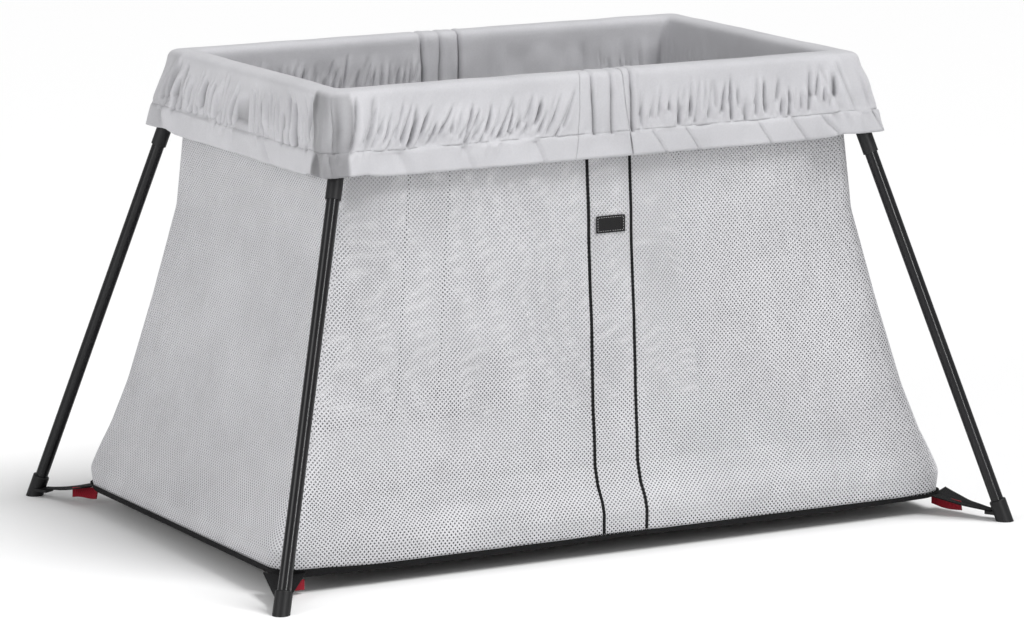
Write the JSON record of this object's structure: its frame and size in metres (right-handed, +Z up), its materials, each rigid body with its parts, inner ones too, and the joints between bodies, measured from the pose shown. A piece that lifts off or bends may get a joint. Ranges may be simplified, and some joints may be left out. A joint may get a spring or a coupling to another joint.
{
  "type": "folding playpen",
  "caption": "Folding travel playpen: a cloth-covered tube rim that folds at centre links, splayed legs strapped to a net bag, and a padded folding mattress.",
  "frame": {"origin": "on the floor, under the middle of the playpen", "axes": "+X along the length, -Y towards the front side that carries the label, +Z up"},
  "size_m": [1.1218, 0.8198, 0.64],
  "materials": {
    "rim_cloth": "soft satin",
    "net": "knitted net",
    "base_cloth": "matt",
    "mattress": "matt",
    "black_webbing": "matt",
    "red_webbing": "matt",
    "leg_tube": "satin",
    "black_plastic": "matt",
    "grey_plastic": "matt",
    "rail_tube": "satin",
    "steel": "brushed"
  },
  "bodies": {
    "centre": {"centre_link_front": "grey_plastic", "centre_link_back": "grey_plastic", "link_pins": "steel", "release_spring_front": "steel", "release_spring_back": "steel", "net_centre": "net", "base_cloth_centre": "base_cloth", "binding_tapes": "black_webbing", "woven_label": "black_webbing", "rim_cover_centre": "rim_cloth", "mattress_middle": "mattress"},
    "button_front": {"release_button_front": "grey_plastic"},
    "button_back": {"release_button_back": "grey_plastic"},
    "left_frame": {"rail_end_left": "rail_tube", "rail_long_front_left": "rail_tube", "rail_long_back_left": "rail_tube", "corner_moulding_front_left": "grey_plastic", "corner_moulding_back_left": "grey_plastic", "hinge_end_front_left": "grey_plastic", "hinge_end_back_left": "grey_plastic", "rivets_left": "steel", "leg_pins_left": "steel", "rim_cover_left": "rim_cloth", "net_end_left": "net", "net_sides_left": "net", "base_cloth_left": "base_cloth", "pull_tabs_left": "red_webbing"},
    "right_frame": {"rail_end_right": "rail_tube", "rail_long_front_right": "rail_tube", "rail_long_back_right": "rail_tube", "corner_moulding_front_right": "grey_plastic", "corner_moulding_back_right": "grey_plastic", "hinge_end_front_right": "grey_plastic", "hinge_end_back_right": "grey_plastic", "rivets_right": "steel", "leg_pins_right": "steel", "rim_cover_right": "rim_cloth", "net_end_right": "net", "net_sides_right": "net", "base_cloth_right": "base_cloth", "pull_tabs_right": "red_webbing"},
    "leg_front_left": {"leg_head_front_left": "black_plastic", "leg_tube_front_left": "leg_tube", "foot_cap_front_left": "black_plastic", "corner_strap_front_left": "black_webbing"},
    "leg_back_left": {"leg_head_back_left": "black_plastic", "leg_tube_back_left": "leg_tube", "foot_cap_back_left": "black_plastic", "corner_strap_back_left": "black_webbing"},
    "leg_front_right": {"leg_head_front_right": "black_plastic", "leg_tube_front_right": "leg_tube", "foot_cap_front_right": "black_plastic", "corner_strap_front_right": "black_webbing"},
    "leg_back_right": {"leg_head_back_right": "black_plastic", "leg_tube_back_right": "leg_tube", "foot_cap_back_right": "black_plastic", "corner_strap_back_right": "black_webbing"},
    "mattress_left": {"mattress_left": "mattress"},
    "mattress_right": {"mattress_right": "mattress"}
  },
  "joints": [
    {"name": "frame_fold_left", "type": "hinge", "parent": "centre", "child": "left_frame", "pos_m": [-0.03, 0, 0.622], "axis": [0, 1, 0], "range_deg": [0, 90], "deforming": ["rim_cover_left", "net_end_left", "net_sides_left", "base_cloth_left", "pull_tabs_left", "rim_cover_right", "net_end_right", "net_sides_right", "base_cloth_right", "pull_tabs_right", "rim_cover_centre", "net_centre", "base_cloth_centre", "binding_tapes", "woven_label", "corner_strap_front_left", "corner_strap_back_left", "corner_strap_front_right", "corner_strap_back_right"]},
    {"name": "frame_fold_right", "type": "hinge", "parent": "centre", "child": "right_frame", "pos_m": [0.03, 0, 0.622], "axis": [0, -1, 0], "range_deg": [0, 90]},
    {"name": "leg_fold_front_left", "type": "hinge", "parent": "left_frame", "child": "leg_front_left", "pos_m": [-0.3823, -0.248, 0.592], "axis": [0, -0.9694, 0.2456], "range_deg": [0, 105.32]},
    {"name": "leg_fold_back_left", "type": "hinge", "parent": "left_frame", "child": "leg_back_left", "pos_m": [-0.3823, 0.248, 0.592], "axis": [0, -0.9694, -0.2456], "range_deg": [0, 105.32]},
    {"name": "leg_fold_front_right", "type": "hinge", "parent": "right_frame", "child": "leg_front_right", "pos_m": [0.3823, -0.248, 0.592], "axis": [0, 0.9694, -0.2456], "range_deg": [0, 105.32]},
    {"name": "leg_fold_back_right", "type": "hinge", "parent": "right_frame", "child": "leg_back_right", "pos_m": [0.3823, 0.248, 0.592], "axis": [0, 0.9694, 0.2456], "range_deg": [0, 105.32]},
    {"name": "mattress_fold_left", "type": "hinge", "parent": "centre", "child": "mattress_left", "pos_m": [-0.25, 0, 0.0725], "axis": [0, 1, 0], "range_deg": [0, 180]},
    {"name": "mattress_fold_right", "type": "hinge", "parent": "centre", "child": "mattress_right", "pos_m": [0.25, 0, 0.0725], "axis": [0, -1, 0], "range_deg": [0, 180]},
    {"name": "release_button_front", "type": "slide", "parent": "centre", "child": "button_front", "axis": [0, 0, 1], "range_m": [0, 0.003], "stiffness_N_per_m": 400, "springref_m": -0.004, "deforming": ["release_spring_front"]},
    {"name": "release_button_back", "type": "slide", "parent": "centre", "child": "button_back", "axis": [0, 0, 1], "range_m": [0, 0.003], "stiffness_N_per_m": 400, "springref_m": -0.004, "deforming": ["release_spring_back"]}
  ],
  "couplings": [
    {"joint": "frame_fold_right", "follows": "frame_fold_left", "ratio": 1},
    {"joint": "leg_fold_front_left", "follows": "frame_fold_left", "ratio": 1.1696},
    {"joint": "leg_fold_back_left", "follows": "frame_fold_left", "ratio": 1.1696},
    {"joint": "leg_fold_front_right", "follows": "frame_fold_left", "ratio": 1.1696},
    {"joint": "leg_fold_back_right", "follows": "frame_fold_left", "ratio": 1.1696}
  ]
}
